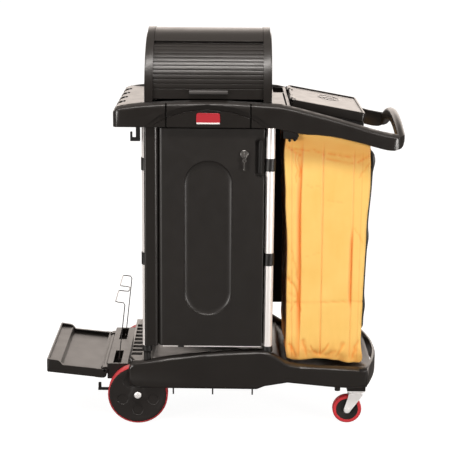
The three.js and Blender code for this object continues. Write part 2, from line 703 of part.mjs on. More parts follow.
// ---------------------------------------------------------------- bag frame, lid and bag
const slopeZ = (x) => lidHinge.z + lid.bottom - 1 - (x - lidHinge.x) * Math.tan(radians(lidHinge.slope));
const flangeZ = (x) => 1040 - (x - 207) * Math.tan(radians(bag.rimSlope));
function bagFrame() {
  const inside = bag.halfDepth - bag.wall - gap;
  const flange = sidePlate(
    outline([[219, flangeZ(219)], [493, flangeZ(493)], [493, flangeZ(493) - 9], [219, flangeZ(219) - 9]]),
    -inside,
    inside,
  ).intersect(planPlate(roundedRectangle(219, 493, -inside, inside, 14), 950, 1100));
  const collar = sidePlate(
    outline([[240, flangeZ(240) - 5], [240, slopeZ(240)], [476, slopeZ(476)], [476, flangeZ(476) - 5]]),
    -187,
    187,
  );
  const mouth = block(244, 472, -183, 183, 900, 1200);
  const hanger = block(226, 243, -239.6, 239.6, 1050, 1056);
  const bracket = sidePlate(
    outline([
      [203, 1045], [203, 1012], [250, 1008], [256, 1024], [240, 1035], [240, 1056], [226, 1056], [226, 1045],
    ]),
    -239.6,
    -231,
  );
  const eyes = union(rod("y", 5, 12, [224, -243, 1007], 14), rod("y", 5, 12, [241, -243, 1009], 14));
  const brackets = union(bracket, eyes, mirrorY(bracket), mirrorY(eyes));
  return union(flange, collar, hanger).subtract(mouth).add(brackets);
}
add("bag_frame", bagFrame(), black());

const lidEars = [-160, -78, 78, 160];
function makeLid() {
  const { left, length, halfWidth, top, bottom } = lid;
  const { width, height } = lidRim;
  const cover = planPlate(roundedRectangle(left, length, -halfWidth, halfWidth, 10), bottom, top, 4, 2);
  const dish = roundedRectangle(left + width, length - width, -halfWidth + width, halfWidth - width, 6);
  const sunk = planPlate(dish, top - height, top + 9);
  const room = block(9, length - 5, -halfWidth + 4.5, halfWidth - 4.5, bottom - 9, top - height - 4);
  const barrels = [-120, 120].map((y) => rod("y", 7.5, 60, [0, y, 0], 14));
  const arms = [-120, 120].map((y) => block(-1, 12, y - 30, y + 30, -5, 5));
  const bore = rod("y", 4.5, 500, [0, 0, 0], 12);
  const earRoom = lidEars.map((y) => block(-10, 9.5, y - 5.5, y + 5.5, bottom - 4, top + 4));
  return without(union(without(cover, room, sunk), ...barrels, ...arms), bore, ...earRoom)
    .rotate([0, lidHinge.slope, 0])
    .translate([lidHinge.x, 0, lidHinge.z]);
}
add("lid", makeLid(), satinBlack());

const pinEar = (y) =>
  block(deck.right + gap, lidHinge.x + 1.5, y - 4, y + 4, deck.top - 10, lidHinge.z + 4.5);
add(
  "lid_hinge",
  union(rod("y", 4, 330, [lidHinge.x, 0, lidHinge.z], 12), ...lidEars.map(pinEar)),
  black(),
);

// The bag is a hollow box with an open top, a little wider at the top than at its bottom.
function bagOutline(inset) {
  const top = inset ? 1200 : 0;
  const rim = (x) => (top ? top : flangeZ(x) + bag.hem);
  const shape = new THREE.Shape();
  shape.moveTo(254, bag.bottom + inset);
  shape.lineTo(466, bag.bottom + inset);
  shape.quadraticCurveTo(492 - inset, bag.bottom + inset, 492 - inset, bag.bottom + 30);
  shape.lineTo(500 - inset, 900);
  shape.lineTo(498 - inset, rim(498));
  shape.lineTo(214 + inset, rim(214));
  shape.lineTo(209 + inset, 950);
  shape.lineTo(227 + inset, bag.bottom + 30);
  shape.quadraticCurveTo(227 + inset, bag.bottom + inset, 254, bag.bottom + inset);
  return shape;
}
function makeBag() {
  const outer = sidePlate(bagOutline(0), -bag.halfDepth, bag.halfDepth, 10, 3);
  const inner = sidePlate(bagOutline(bag.wall), -bag.halfDepth + bag.wall, bag.halfDepth - bag.wall, 8, 3);
  return outer.subtract(inner);
}
add("bag", makeBag(), vinyl());

add("rear_guard", block(180.5, 226, 229, 234, 303, 1004), black());

// ---------------------------------------------------------------- end platform
const hingePlan = roundedRectangle(hingeBlock.left, hingeBlock.right, -208, 208, 5);
add(
  "platform_hinge",
  without(
    union(
      planPlate(hingePlan, hingeBlock.bottom, hingeBlock.top),
      ...[-1, 1].map((sign) => rod("y", 12, 26, [platform.pivotX, sign * 194.6, platform.pivotZ], 20)),
      ...[-1, 1].map((sign) => block(-408, -395, sign * 194.6 - 13, sign * 194.6 + 13, 166, 190)),
    ),
    rod("y", 4.5, 500, [platform.pivotX, 0, platform.pivotZ], 16),
    ...[-1, 1].map((sign) => block(-379, -351, ...between(sign * 65, sign * 200), 172, 220)),
    block(-390, -332, -196, 196, 100, 163),
  ),
  satinBlack(),
);

function makePlatform() {
  const side = new THREE.Shape();
  side.moveTo(-12, -platform.depth);
  side.lineTo(-platform.length + 9, -platform.depth);
  side.quadraticCurveTo(-platform.length + 5, -platform.depth, -platform.length + 4.6, -platform.depth + 4);
  side.lineTo(-platform.length, 17);
  side.quadraticCurveTo(-platform.length, 20.5, -platform.length + 4, 20.5);
  side.lineTo(-168, 19);
  side.quadraticCurveTo(-158, 18, -152, 8);
  side.quadraticCurveTo(-149, 4, -143, 4);
  side.lineTo(-12, 4.5);
  const cheek = new THREE.Shape();
  cheek.moveTo(-30, -platform.depth);
  cheek.lineTo(-8, -platform.depth);
  cheek.quadraticCurveTo(9, -platform.depth, 9, -12);
  cheek.lineTo(9, 4.5);
  cheek.lineTo(-30, 4.5);
  const cheeks = sidePlate(cheek, -platform.halfWidth, platform.halfWidth).subtract(
    block(-100, 100, -208.5, 208.5, -100, 100),
  );
  const corners = roundedRectangle(-platform.length, 60, -platform.halfWidth, platform.halfWidth, 11);
  const tray = sidePlate(side, -platform.halfWidth, platform.halfWidth, 2.5, 3);
  const body = union(tray.intersect(planPlate(corners, -60, 60)), cheeks);
  const floor = sidePlate(
    outline([[-18, 30], [-18, -7], [-150, -7], [-157, 12], [-199, 12], [-199, 30]]),
    -platform.halfWidth + 12,
    platform.halfWidth - 12,
  );
  const under = block(-platform.length + 6, -18, -platform.halfWidth + 5, platform.halfWidth - 5, -60, -13);
  const barrel = rod("y", 8.6, 354, [0, 0, 0], 20);
  const link = block(-16, 0, -177, 177, -9, 3);
  const endRelief = [-1, 1].map((sign) => block(-14, 20, ...between(sign * 178, sign * 208.5), -60, 40));
  const bore = rod("y", 4.5, 500, [0, 0, 0], 16);
  return without(union(without(body, floor, under), barrel, link), bore, ...endRelief)
    .rotate([0, platform.tilt, 0])
    .translate([platform.pivotX, 0, platform.pivotZ]);
}
add("platform", makePlatform(), satinBlack());
add("platform_rod", rod("y", 4, 415, [platform.pivotX, 0, platform.pivotZ], 16), black());

// One bent wire: two legs, and two loops that reach out over the folded platform's edge.
function wirePath() {
  const { height, legY, reach } = wire;
  const path = new THREE.CurvePath();
  const corners = [
    [0, -legY + 22, 0], [0, -legY, 0], [0, -legY, height], [-reach, -legY, height], [-reach, -30, height],
    [3, -30, height], [3, 30, height], [-reach, 30, height], [-reach, legY, height], [0, legY, height],
    [0, legY, 0], [0, legY - 22, 0],
  ].map(([x, y, z]) => new THREE.Vector3(x, y, z));
  const bend = 9;
  let from = corners[0];
  for (let i = 1; i < corners.length - 1; i += 1) {
    const before = corners[i].clone().lerp(corners[i - 1], bend / corners[i].distanceTo(corners[i - 1]));
    const after = corners[i].clone().lerp(corners[i + 1], bend / corners[i].distanceTo(corners[i + 1]));
    path.add(new THREE.LineCurve3(from, before));
    path.add(new THREE.QuadraticBezierCurve3(before, corners[i], after));
    from = after;
  }
  path.add(new THREE.LineCurve3(from, corners.at(-1)));
  return path;
}
function wireHolder() {
  const section = new THREE.Shape();
  section.absarc(0, 0, wire.radius, 0, Math.PI * 2);
  const path = wirePath();
  const points = path.curves.flatMap((curve, i) => {
    const steps = curve.isLineCurve3 ? 1 : 4;
    const list = curve.getPoints(steps);
    return i ? list.slice(1) : list;
  });
  const track = new THREE.CurvePath();
  points.slice(1).forEach((point, i) => track.add(new THREE.LineCurve3(points[i], point)));
  const geometry = new THREE.ExtrudeGeometry(section, { extrudePath: track, steps: 96, curveSegments: 3 });
  return solid(geometry).rotate([0, wire.lean, 0]).translate([wire.pivotX, 0, wire.pivotZ]);
}
add("wire_holder", wireHolder(), steel());

add(
  "foot_bracket",
  union(
    block(-432, -345, -206, -196, 103, 111),
    block(-431, -421, -206, -196, 103, 130),
    block(-353, -345, -206, -196, 103, hingeBlock.bottom - gap),
  ),
  black(),
);

export default cart;
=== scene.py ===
# A housekeeping cart: its looks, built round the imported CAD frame. Metres, +Z up, -Y is the door side.
import json
import math

import bmesh
import bpy
from mathutils import Matrix, Vector, noise


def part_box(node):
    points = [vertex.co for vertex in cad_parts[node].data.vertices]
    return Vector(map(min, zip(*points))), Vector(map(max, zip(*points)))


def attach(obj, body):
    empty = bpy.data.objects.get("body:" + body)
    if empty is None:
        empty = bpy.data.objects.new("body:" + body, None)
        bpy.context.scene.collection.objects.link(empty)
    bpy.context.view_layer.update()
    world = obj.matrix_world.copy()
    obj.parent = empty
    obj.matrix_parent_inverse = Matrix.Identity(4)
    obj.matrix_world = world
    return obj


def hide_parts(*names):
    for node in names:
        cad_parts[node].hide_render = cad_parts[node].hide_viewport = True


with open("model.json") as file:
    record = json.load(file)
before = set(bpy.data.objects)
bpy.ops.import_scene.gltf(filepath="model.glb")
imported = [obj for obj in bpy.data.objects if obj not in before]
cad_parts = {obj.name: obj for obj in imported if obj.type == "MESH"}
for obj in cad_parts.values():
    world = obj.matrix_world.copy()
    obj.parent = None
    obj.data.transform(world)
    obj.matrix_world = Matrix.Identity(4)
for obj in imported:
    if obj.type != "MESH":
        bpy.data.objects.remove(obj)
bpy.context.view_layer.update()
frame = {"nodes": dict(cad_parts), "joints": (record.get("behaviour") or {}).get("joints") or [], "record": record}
nodes = frame["nodes"]
joints = {joint["name"]: joint for joint in frame["joints"]}
scene = bpy.context.scene


# ---------------------------------------------------------------- camera
CAMERA_PLACE = (0.0215, -4.7662, 1.7842)
CAMERA_TURN = (13.316, -0.143, -0.484)  # pitch, yaw and roll in degrees
CAMERA_LENS = 109.5
CAMERA_SENSOR = 36


def look(pitch, yaw, roll):
    """Rotation of a camera that looks along +Y, turned by yaw, tipped down by pitch and rolled."""
    p, y, r = (math.radians(a) for a in (pitch, yaw, roll))
    forward = Vector((math.sin(y) * math.cos(p), math.cos(y) * math.cos(p), -math.sin(p)))
    level = Vector((math.cos(y), -math.sin(y), 0))
    upright = level.cross(forward)
    right = math.cos(r) * level - math.sin(r) * upright
    up = math.sin(r) * level + math.cos(r) * upright
    return Matrix((right, up, -forward)).transposed().to_4x4()


def make_camera():
    data = bpy.data.cameras.new("camera")
    data.sensor_width = CAMERA_SENSOR
    data.lens = CAMERA_LENS
    data.clip_end = 100
    camera = bpy.data.objects.new("camera", data)
    scene.collection.objects.link(camera)
    camera.matrix_world = Matrix.Translation(CAMERA_PLACE) @ look(*CAMERA_TURN)
    scene.camera = camera


# ---------------------------------------------------------------- shader helpers
class Tree:
    """A node tree with short calls for making and linking nodes."""

    def __init__(self, tree):
        self.nodes = tree.nodes
        self.link = tree.links.new

    def add(self, kind, **inputs):
        node = self.nodes.new("ShaderNode" + kind)
        for name, value in inputs.items():
            self.feed(node, name.replace("_", " "), value)
        return node

    def feed(self, node, name, value):
        if isinstance(value, bpy.types.NodeSocket):
            self.link(value, node.inputs[name])
        else:
            node.inputs[name].default_value = value

    def remap(self, value, low, high, to_low, to_high, smooth=False):
        ends = {"From_Min": low, "From_Max": high, "To_Min": to_low, "To_Max": to_high}
        node = self.add("MapRange", Value=value, **ends)
        if smooth:
            node.interpolation_type = "SMOOTHSTEP"
        return node.outputs["Result"]

    def math(self, operation, a, b):
        node = self.nodes.new("ShaderNodeMath")
        node.operation = operation
        for i, value in enumerate((a, b)):
            self.feed(node, i, value)
        return node.outputs[0]

    def mix(self, factor, a, b):
        node = self.nodes.new("ShaderNodeMix")
        node.data_type = "RGBA"
        for name, value in (("Factor", factor), ("A", a), ("B", b)):
            self.feed(node, name, value)
        return node.outputs["Result"]

    def cloud(self, coords, scale, detail=3):
        return self.add("TexNoise", Vector=coords, Scale=scale, Detail=detail).outputs["Fac"]


def new_material(name):
    paint = bpy.data.materials.new(name)
    paint.use_nodes = True
    return paint, Tree(paint.node_tree), paint.node_tree.nodes["Principled BSDF"]


# ---------------------------------------------------------------- studio
def make_world():
    """A bright warm backdrop low behind the cart, with a dim room round it; white to the camera."""
    world = bpy.data.worlds.new("studio")
    scene.world = world
    world.use_nodes = True
    world.node_tree.nodes.clear()
    tree = Tree(world.node_tree)
    direction = tree.add("SeparateXYZ", Vector=tree.add("TexCoord").outputs["Generated"])
    behind = tree.remap(direction.outputs["Y"], -0.1, 0.5, 0, 1, smooth=True)
    low = tree.remap(direction.outputs["Z"], 0.30, 0.70, 1, 0, smooth=True)
    leftward = tree.remap(direction.outputs["X"], -0.25, 0.15, 0.72, 1)
    glow = tree.math("MULTIPLY", tree.math("MULTIPLY", behind, low), leftward)
    ceiling = tree.remap(direction.outputs["Z"], 0.45, 0.95, 0.06, 0.66, smooth=True)
    strength = tree.math("ADD", tree.math("MULTIPLY", glow, 2.7), ceiling)
    lighting = tree.add("Background", Color=(1.0, 0.89, 0.81, 1), Strength=strength)
    seen = tree.add("Background", Color=(1, 1, 1, 1), Strength=1.1)
    path = tree.add("LightPath")
    mix = tree.add("MixShader", Fac=path.outputs["Is Camera Ray"])
    tree.link(lighting.outputs[0], mix.inputs[1])
    tree.link(seen.outputs[0], mix.inputs[2])
    tree.link(mix.outputs[0], tree.add("OutputWorld").inputs["Surface"])


def area_light(name, place, target, size, power):
    data = bpy.data.lights.new(name, "AREA")
    data.shape = "RECTANGLE"
    data.size, data.size_y = size
    data.energy = power
    data.color = (1.0, 0.955, 0.92)
    lamp = bpy.data.objects.new(name, data)
    scene.collection.objects.link(lamp)
    lamp.location = place
    lamp.rotation_euler = (Vector(target) - Vector(place)).to_track_quat("-Z", "Y").to_euler()


def make_floor():
    """A pale floor that looks white and keeps a faint shadow, but throws little light up."""
    bm = bmesh.new()
    bmesh.ops.create_grid(bm, x_segments=2, y_segments=2, size=60)
    mesh = bpy.data.meshes.new("floor")
    bm.to_mesh(mesh)
    floor = bpy.data.objects.new("floor", mesh)
    scene.collection.objects.link(floor)
    paint = bpy.data.materials.new("floor")
    paint.use_nodes = True
    paint.node_tree.nodes.clear()
    tree = Tree(paint.node_tree)
    dark = tree.add("BsdfDiffuse", Color=(0.15, 0.15, 0.15, 1))
    matt = tree.add("BsdfDiffuse", Color=(0.25, 0.25, 0.25, 1))
    glow = tree.add("Emission", Color=(1, 1, 1, 1), Strength=0.93)
    both = tree.add("AddShader")
    tree.link(matt.outputs[0], both.inputs[0])
    tree.link(glow.outputs[0], both.inputs[1])
    mix = tree.add("MixShader", Fac=tree.add("LightPath").outputs["Is Camera Ray"])
    tree.link(dark.outputs[0], mix.inputs[1])
    tree.link(both.outputs[0], mix.inputs[2])
    tree.link(mix.outputs[0], tree.add("OutputMaterial").inputs["Surface"])
    mesh.materials.append(paint)


def make_studio():
    make_world()
    area_light("strip", (0, -1.80, 4.5), (0, -0.1, 1.1), (3.6, 0.55), 145)
    area_light("fill_right", (4.2, -3.8, 0.75), (0.3, 0, 0.7), (1.6, 1.2), 178)
    area_light("fill_left", (-4.2, -3.8, 0.75), (0.3, 0, 0.7), (1.6, 1.2), 178)
    make_floor()
    scene.view_settings.view_transform = "Standard"
    scene.view_settings.look = "None"


# ---------------------------------------------------------------- materials
GLOSS_SPREAD = 0.025  # how far the roughness wanders to each side
GRAIN_HEIGHT = 0.0006
CHARCOAL = (0.0125, 0.0108, 0.0096)


def plastic(name, color, roughness, grain=900.0, bump=0.025, tint=0.10, wear=0.12, metallic=0.0):
    """Moulded plastic or metal: fine grain, slow changes of colour and gloss, slightly paler worn edges."""
    paint, tree, shader = new_material(name)
    coords = tree.add("TexCoord").outputs["Object"]
    slow = tree.cloud(coords, 3.5)
    mid = tree.cloud(coords, 24, 2)
    fine = tree.cloud(coords, grain, 2)
    deep = [c * (1 - tint) for c in color] + [1]
    pale = [c * (1 + tint) for c in color] + [1]
    scuffed = [min(1, 0.06 + 1.5 * c) for c in color] + [1]
    shade = tree.mix(tree.remap(slow, 0.3, 0.7, 0, 1), deep, pale)
    edge = tree.add("NewGeometry").outputs["Pointiness"]
    worn = tree.math("MULTIPLY", tree.remap(edge, 0.53, 0.62, 0, wear), mid)
    tree.feed(shader, "Base Color", tree.mix(worn, shade, scuffed))
    gloss = tree.remap(mid, 0.3, 0.7, roughness - GLOSS_SPREAD, roughness + GLOSS_SPREAD)
    tree.feed(shader, "Roughness", gloss)
    relief = tree.add("Bump", Strength=bump, Distance=GRAIN_HEIGHT, Height=fine)
    tree.feed(shader, "Normal", relief.outputs["Normal"])
    shader.inputs["Metallic"].default_value = metallic
    return paint


def vinyl():
    """Coated cloth: a fine weave, a paler dusty bloom, and a deeper orange painted in as shade in the folds."""
    paint, tree, shader = new_material("bag_vinyl")
    coords = tree.add("TexCoord").outputs["Object"]
    slow = tree.cloud(coords, 7, 3)
    fine = tree.cloud(coords, 900, 2)
    threads = []
    for axis in ("X", "Z"):
        wave = tree.nodes.new("ShaderNodeTexWave")
        wave.bands_direction = axis
        tree.link(coords, wave.inputs["Vector"])
        wave.inputs["Scale"].default_value = 420
        threads.append(wave.outputs["Fac"])
    weave = tree.math("MULTIPLY", *threads)
    bloom = tree.remap(slow, 0.3, 0.7, 0, 1)
    plain = tree.mix(bloom, (0.84, 0.52, 0.130, 1), (0.90, 0.58, 0.165, 1))
    # Painted shade: the fold value mixes in a deep orange, partly the doubled cloth's own deeper colour in its
    # folds.
    fold = tree.nodes.new("ShaderNodeAttribute")
    fold.attribute_name = "fold"
    tree.feed(shader, "Base Color", tree.mix(fold.outputs["Fac"], plain, (0.80, 0.23, 0.022, 1)))
    tree.feed(shader, "Roughness", tree.remap(slow, 0.3, 0.7, 0.42, 0.56))
    height = tree.math("ADD", tree.math("MULTIPLY", weave, 0.6), fine)
    relief = tree.add("Bump", Strength=0.25, Distance=0.0005, Height=height)
    tree.feed(shader, "Normal", relief.outputs["Normal"])
    shader.inputs["Sheen Weight"].default_value = 0.08
    shader.inputs["Specular IOR Level"].default_value = 0.4
    return paint


def metal(name, color, roughness, metallic, grain=900.0, bump=0.01, tint=0.04):
    """Metal as a plastic with no worn edges and less grain."""
    return plastic(name, color, roughness, grain, bump, tint, wear=0, metallic=metallic)


materials = {
    "base_plastic": plastic("base_plastic", CHARCOAL, 0.33),
    "top_plastic": plastic("top_plastic", CHARCOAL, 0.31, bump=0.012),
    "black_plastic": plastic("black_plastic", (0.0050, 0.0045, 0.0042), 0.46, wear=0.05),
    "wheel_plastic": plastic("wheel_plastic", (0.0125, 0.0105, 0.0095), 0.42),
    "red_tread": plastic("red_tread", (0.50, 0.026, 0.034), 0.55, tint=0.14, wear=0.05),
    "aluminium": metal("aluminium", (0.95, 0.925, 0.91), 0.34, 0.35, grain=1500, tint=0.03),
    "steel": metal("steel", (0.90, 0.90, 0.90), 0.34, 0.3),
    "chrome_wire": metal("chrome_wire", (0.17, 0.165, 0.165), 0.25, 1.0, tint=0.05),
    "red_badge": plastic("red_badge", (0.40, 0.024, 0.034), 0.32, bump=0.01, wear=0.05),
    "bag_vinyl": vinyl(),
}
key_steel = metal("key_steel", (0.42, 0.41, 0.40), 0.28, 1.0, bump=0.05, tint=0.08)
own_paint = {
    "door": plastic("satin_door", CHARCOAL, 0.43),
    "door_lock": key_steel,
    "key": key_steel,
    "key_ring": key_steel,
    "curtain_pull": plastic("pull_grey", (0.060, 0.057, 0.055), 0.40),
}
slot_of = {part["node"]: part["material_slot"] for part in frame["record"]["subparts"]}


# ---------------------------------------------------------------- CAD nodes
EDGE = 0.0012
FINE_EDGE = 0.0004
FINE_FIT = ("platform", "platform_hinge")  # these two fold closely round each other
SAME_POINT = 0.00002
SHARP_TURN = math.radians(38)  # an edge that turns more than this is rounded


def smooth(mesh):
    for polygon in mesh.polygons:
        polygon.use_smooth = True


def dress(name, edge):
    """Gives a CAD node its material, softly rounded edges and smooth shading."""
    node = nodes[name]
    paint = own_paint.get(name, materials[slot_of[name]])
    node.data.materials.clear()
    node.data.materials.append(paint)
    smooth(node.data)
    weld = node.modifiers.new("weld", "WELD")
    weld.merge_threshold = SAME_POINT
    bevel = node.modifiers.new("edges", "BEVEL")
    bevel.width = edge
    bevel.segments = 2
    bevel.limit_method = "ANGLE"
    bevel.angle_limit = SHARP_TURN
    bevel.use_clamp_overlap = True
    bevel.miter_outer = "MITER_ARC"
    weighted = node.modifiers.new("shade", "WEIGHTED_NORMAL")
    weighted.weight = 100
    weighted.mode = "CORNER_ANGLE" if name == "base" else "FACE_AREA"
    weighted.keep_sharp = False


# ---------------------------------------------------------------- piece helpers
def piece(name, mesh, slot, body, paint=None):
    """Links a mesh as a piece of the cart that rides on a body, with its slot's material."""
    thing = bpy.data.objects.new(name, mesh)
    scene.collection.objects.link(thing)
    mesh.materials.append(paint or materials[slot])
    smooth(mesh)
    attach(thing, body)
    return thing


def bridge(bm, lower, upper):
    """Joins two rings of points with a band of faces."""
    count = len(lower)
    for i in range(count):
        j = (i + 1) % count
        bm.faces.new((lower[i], lower[j], upper[j], upper[i]))


def mesh_of(bm, name):
    """The finished mesh of a shape, with its faces turned outwards."""
    bmesh.ops.recalc_face_normals(bm, faces=bm.faces)
    mesh = bpy.data.meshes.new(name)
    bm.to_mesh(mesh)
    bm.free()
    return mesh


def smoothstep(low, high, value):
    t = min(1, max(0, (value - low) / (high - low)))
    return t * t * (3 - 2 * t)


def through(points, at):
    """A smooth curve through (position, value) points, level beyond its ends."""
    if at <= points[0][0]:
        return points[0][1]
    for (a, u), (b, v) in zip(points, points[1:]):
        if at <= b:
            return u + (v - u) * smoothstep(a, b, at)
    return points[-1][1]


def tube_loop(name, centres, radius, slot, body, sides=8, paint=None):
    """A closed round bead through a ring of centres."""
    bm = bmesh.new()
    rings = []
    count = len(centres)
    for i, centre in enumerate(centres):
        ahead = (centres[(i + 1) % count] - centres[i - 1]).normalized()
        side = ahead.cross(Vector((0, 0, 1))).normalized()
        up = side.cross(ahead)
        ring = []
        for k in range(sides):
            turn = 2 * math.pi * k / sides
            arm = math.cos(turn) * side + math.sin(turn) * up
            ring.append(bm.verts.new(centre + radius * arm))
        rings.append(ring)
    for i in range(count):
        bridge(bm, rings[i], rings[(i + 1) % count])
    return piece(name, mesh_of(bm, name), slot, body, paint)


def rounded_bar(name, low, high, slot, body, edge=0.0008, turn=None, paint=None):
    """A block between two corners with rounded edges, turned by a matrix if one is given."""
    bm = bmesh.new()
    low, high = Vector(low), Vector(high)
    size = Matrix.Diagonal((*(high - low), 1))
    bmesh.ops.create_cube(bm, size=1, matrix=Matrix.Translation((low + high) / 2) @ size)
    bmesh.ops.bevel(bm, geom=bm.edges[:], offset=edge, segments=3, affect="EDGES", profile=0.5)
    if turn is not None:
        bm.transform(turn)
    return piece(name, mesh_of(bm, name), slot, body, paint)


# ---------------------------------------------------------------- waste bag
BAG_FRONT = 0.2235  # half depth of the hanging cloth
BAG_RIM = 0.2275  # half depth at the rim, where the cloth goes round the frame's flange
BAG_CORNER = 0.006
BAG_ROWS = 124
BAG_HEM = 0.228
BAG_HEIGHT = 0.79
BAG_THICKNESS = 0.0012
RIM_LEFT = 0.207
RIM_TOP = 1.0475  # height of the rim at its left end
RIM_SLOPE = math.tan(math.radians(9.1))
LEFT_EDGE = [  # (z, x) up the bag's left side
    (0.24, 0.2275), (0.60, 0.2275), (0.78, 0.2185), (0.93, 0.2095), (0.99, 0.2125), (1.03, 0.2145),
]
RIGHT_EDGE = [  # (z, x) up its right side
    (0.235, 0.492), (0.31, 0.4835), (0.45, 0.4845), (0.69, 0.4895), (0.88, 0.4995), (0.99, 0.4978),
]
FRONT_HEM = [  # (x, z) along its foot
    (0.229, 0.234), (0.253, 0.2265), (0.347, 0.2340), (0.400, 0.2285),
    (0.443, 0.2195), (0.485, 0.2190), (0.493, 0.228),
]


def rim_height(x):
    return RIM_TOP - (x - RIM_LEFT) * RIM_SLOPE


def groove(x, centre, left, right, depth):
    """A sewn or pressed fold: a valley with its own width on each side of its centre."""
    away = (x - centre) / (right if x > centre else left)
    return depth * max(0, 1 - abs(away)) ** 1.2


CREASE_BEND = 0.007  # how far the cloth bends each straight crease
CREASE_SPREAD = 1.9
CREASE_DEPTH = 1.35
CREASES = [  # from (x, z) to (x, z), half width, depth
    ((0.231, 0.525), (0.262, 0.470), 0.004, 0.0026), ((0.262, 0.470), (0.270, 0.405), 0.004, 0.0024),
    ((0.233, 0.470), (0.258, 0.455), 0.003, 0.0018), ((0.240, 0.620), (0.262, 0.520), 0.003, 0.0016),
    ((0.236, 0.405), (0.262, 0.440), 0.003, 0.0016), ((0.343, 0.236), (0.312, 0.278), 0.004, 0.0028),
    ((0.343, 0.236), (0.372, 0.286), 0.004, 0.0028), ((0.300, 0.236), (0.283, 0.300), 0.004, 0.0022),
    ((0.400, 0.232), (0.425, 0.290), 0.004, 0.0022), ((0.262, 0.236), (0.238, 0.285), 0.004, 0.0022),
    ((0.455, 0.226), (0.476, 0.300), 0.004, 0.0022), ((0.330, 0.232), (0.400, 0.262), 0.003, 0.0018),
    ((0.290, 0.262), (0.345, 0.250), 0.003, 0.0018), ((0.216, 0.985), (0.262, 0.950), 0.004, 0.0026),
    ((0.240, 0.975), (0.290, 0.968), 0.003, 0.0020), ((0.300, 0.975), (0.345, 0.955), 0.003, 0.0020),
    ((0.355, 0.962), (0.425, 0.945), 0.003, 0.0022), ((0.352, 0.940), (0.440, 0.925), 0.003, 0.0018),
    ((0.495, 0.955), (0.458, 0.930), 0.004, 0.0026), ((0.494, 0.925), (0.462, 0.880), 0.003, 0.0018),
    ((0.246, 0.960), (0.252, 0.860), 0.003, 0.0024), ((0.258, 0.955), (0.262, 0.880), 0.003, 0.0018),
    ((0.355, 0.800), (0.420, 0.792), 0.002, 0.0008), ((0.285, 0.850), (0.335, 0.842), 0.002, 0.0008),
    ((0.283, 0.600), (0.335, 0.617), 0.002, 0.0008), ((0.452, 0.700), (0.482, 0.650), 0.003, 0.0014),
]


def near_line(x, z, start, end):
    """Distance from a place to the straight line between two ends."""
    run, rise = end[0] - start[0], end[1] - start[1]
    share = ((x - start[0]) * run + (z - start[1]) * rise) / (run * run + rise * rise)
    share = min(1, max(0, share))
    return math.hypot(x - start[0] - share * run, z - start[1] - share * rise)


def creases(x, z):
    """Depth of the small wrinkles at a place; the cloth bends each straight line a little."""
    deep = 0
    bent_x = x + CREASE_BEND * noise.noise(Vector((x * 45, z * 45, 5)))
    bent_z = z + CREASE_BEND * noise.noise(Vector((x * 45, z * 45, 31)))
    for start, end, width, depth in CREASES:
        away = near_line(bent_x, bent_z, start, end) / (CREASE_SPREAD * width)
        if away < 1:
            deep = max(deep, CREASE_DEPTH * depth * (1 - away) ** 1.6)
    return deep


def front_folds(x, z):
    """How deep the front cloth lies in its vertical folds at a place."""
    bay = through([(0.27, 0.003), (0.42, 0.0075), (0.70, 0.0085), (0.88, 0.006), (0.97, 0.003)], z)
    slot = through([(0.40, 0.0025), (0.46, 0.007), (0.64, 0.007), (0.72, 0.0025)], z)
    width = through([(0.40, 0.004), (0.46, 0.013), (0.64, 0.012), (0.72, 0.004)], z)
    seam = through([(0.27, 0.2710), (0.45, 0.2715), (0.80, 0.2665), (0.99, 0.2700)], z)
    deep = groove(x, seam, 0.017, 0.004, bay)
    deep += groove(x, 0.3475 - 0.006 * z, 0.0065, 0.002, 0.0034)
    deep += groove(x, 0.4485 - 0.004 * z, width, 0.0035, slot)
    deep += groove(x, 0.2500 - 0.018 * z, 0.004, 0.004, 0.0022)
    deep += groove(x, 0.4720, 0.003, 0.003, 0.0015)
    return deep + creases(x, z)


def cloth_relief(face, x, y, z, rise):
    """The cloth's outward offset and its painted fold shade; rise runs from 0 at the hem to 1 at the rim."""
    free = smoothstep(0, 0.03, rise) * (1 - smoothstep(0.90, 0.975, rise))
    foot = 1 - smoothstep(0.0, 0.13, rise)
    head = smoothstep(0.86, 0.93, rise) * (1 - smoothstep(0.955, 0.99, rise))
    swell = 0.0035 * math.sin(math.pi * min(1, max(0, rise))) ** 0.5
    along = x if face in ("front", "back") else y
    spot = Vector((along * 22, z * 5, 3 + len(face)))
    ripple = 0.0013 * noise.noise(spot) + 0.0007 * noise.noise(spot * 2.7)
    pucker = 0.0060 * foot * noise.noise(Vector((along * 38, z * 16, 9 + len(face))))
    gather = 0.0022 * head * noise.noise(Vector((along * 14, z * 70 + along * 9, 17 + len(face))))
    crease_z = 0.4395 + 0.003 * math.sin(along * 21 + len(face))
    crease = groove(z, crease_z, 0.006, 0.004, 0.0017)
    if face == "front":
        folds = front_folds(x, z)
    elif face == "back":
        folds = front_folds(0.72 - x, z)
    else:
        swell -= 0.014 * math.exp(-((y / 0.050) ** 2))
        folds = groove(abs(y), 0.150, 0.010, 0.004, 0.004) + groove(y, 0.0, 0.012, 0.012, 0.006)
    lift = free * (swell + ripple + gather - folds - crease) + pucker
    # Painted shade, kept as the fold value: deeper with the depth of the folds and the crease (partly the doubled
    # cloth's own deeper colour), in the hollows of the puckers and gathers, under the arm near the top and at the
    # foot.
    shade = free * (folds / 0.0060 + 0.40 * crease / 0.0017) + 0.18 * head - 45 * pucker - 90 * gather
    shade += 0.16 * smoothstep(0.80, 0.97, rise) + 0.30 * foot
    # The whole left side is painted in deep shade, as it lies in shadow beside the cabinet.
    if face == "left":
        shade = 0.9
    # The right side is painted a little deeper all over, with half its fold shade.
    if face == "right":
        shade = 0.15 + 0.5 * shade
    return lift, min(0.95, max(0, shade))


